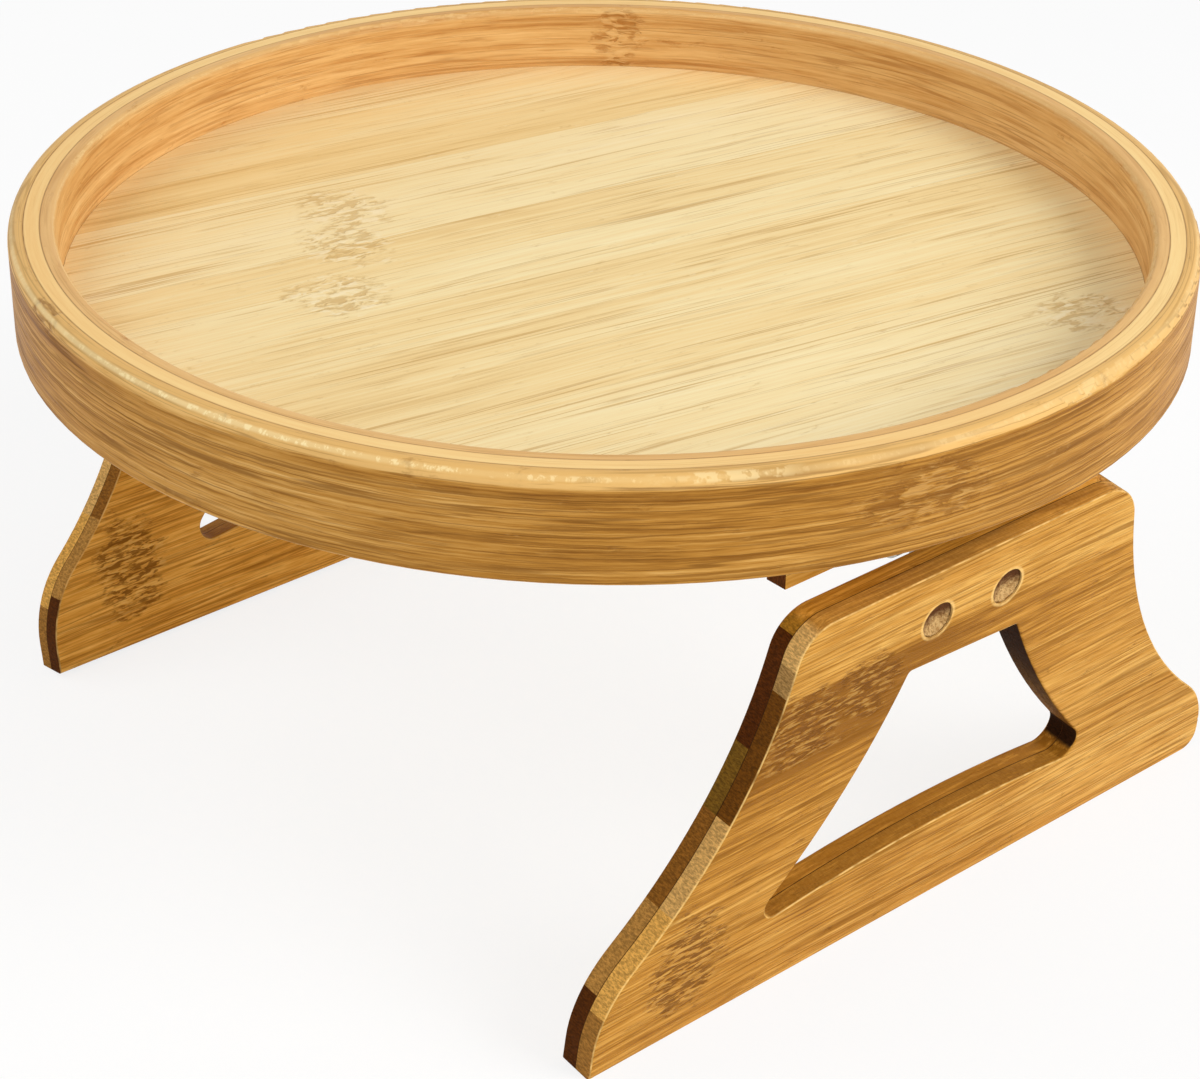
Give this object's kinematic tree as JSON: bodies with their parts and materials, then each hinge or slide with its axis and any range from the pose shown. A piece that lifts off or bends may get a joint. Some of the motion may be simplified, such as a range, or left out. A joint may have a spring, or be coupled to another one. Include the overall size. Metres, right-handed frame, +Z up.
{
  "type": "sofa arm tray",
  "caption": "Round bamboo tray that clips over a sofa arm between two spring-hinged, windowed bamboo legs.",
  "frame": {"origin": "the point of the standing surface under the tray's axis, the legs standing at rest", "axes": "+Z up; the legs' length runs along X with the pointed toes at -X; the near leg is at -Y"},
  "size_m": [0.25, 0.25, 0.1295],
  "materials": {
    "rim_outer": "satin clear lacquer on bamboo",
    "rim_middle": "satin clear lacquer on bamboo",
    "rim_inner": "satin clear lacquer on bamboo",
    "floor": "satin clear lacquer on bamboo",
    "rail": "satin clear lacquer on bamboo",
    "leg_outer": "satin clear lacquer on bamboo",
    "leg_inner": "satin clear lacquer on bamboo",
    "plug": "satin clear lacquer on bamboo",
    "hinge_steel": "plain zinc-plated steel",
    "pin_steel": "plain zinc-plated steel",
    "spring_steel": "plain zinc-plated steel",
    "screw_steel": "plain zinc-plated steel"
  },
  "bodies": {
    "tray": {"rim_outer_ply": "rim_outer", "rim_middle_ply": "rim_middle", "rim_inner_ply": "rim_inner", "tray_floor": "floor", "near_hinge_rail": "rail", "near_rail_screws": "screw_steel", "near_fixed_leaf": "hinge_steel", "near_leaf_screws": "screw_steel", "near_hinge_pin": "pin_steel", "near_hinge_spring": "spring_steel", "far_hinge_rail": "rail", "far_rail_screws": "screw_steel", "far_fixed_leaf": "hinge_steel", "far_leaf_screws": "screw_steel", "far_hinge_pin": "pin_steel", "far_hinge_spring": "spring_steel"},
    "near_leg": {"near_moving_leaf": "hinge_steel", "near_leg_outer_ply": "leg_outer", "near_leg_inner_ply": "leg_inner", "near_leg_screws": "screw_steel", "near_leg_plugs": "plug"},
    "far_leg": {"far_moving_leaf": "hinge_steel", "far_leg_outer_ply": "leg_outer", "far_leg_inner_ply": "leg_inner", "far_leg_screws": "screw_steel", "far_leg_plugs": "plug"}
  },
  "joints": [
    {"name": "near_leg_hinge", "type": "hinge", "parent": "tray", "child": "near_leg", "pos_m": [0, -0.10136, 0.09538], "axis": [-1, 0, 0], "range_deg": [-80, 30], "stiffness_Nm_per_rad": 0.5},
    {"name": "far_leg_hinge", "type": "hinge", "parent": "tray", "child": "far_leg", "pos_m": [0, 0.10136, 0.09538], "axis": [1, 0, 0], "range_deg": [-80, 30], "stiffness_Nm_per_rad": 0.5}
  ]
}
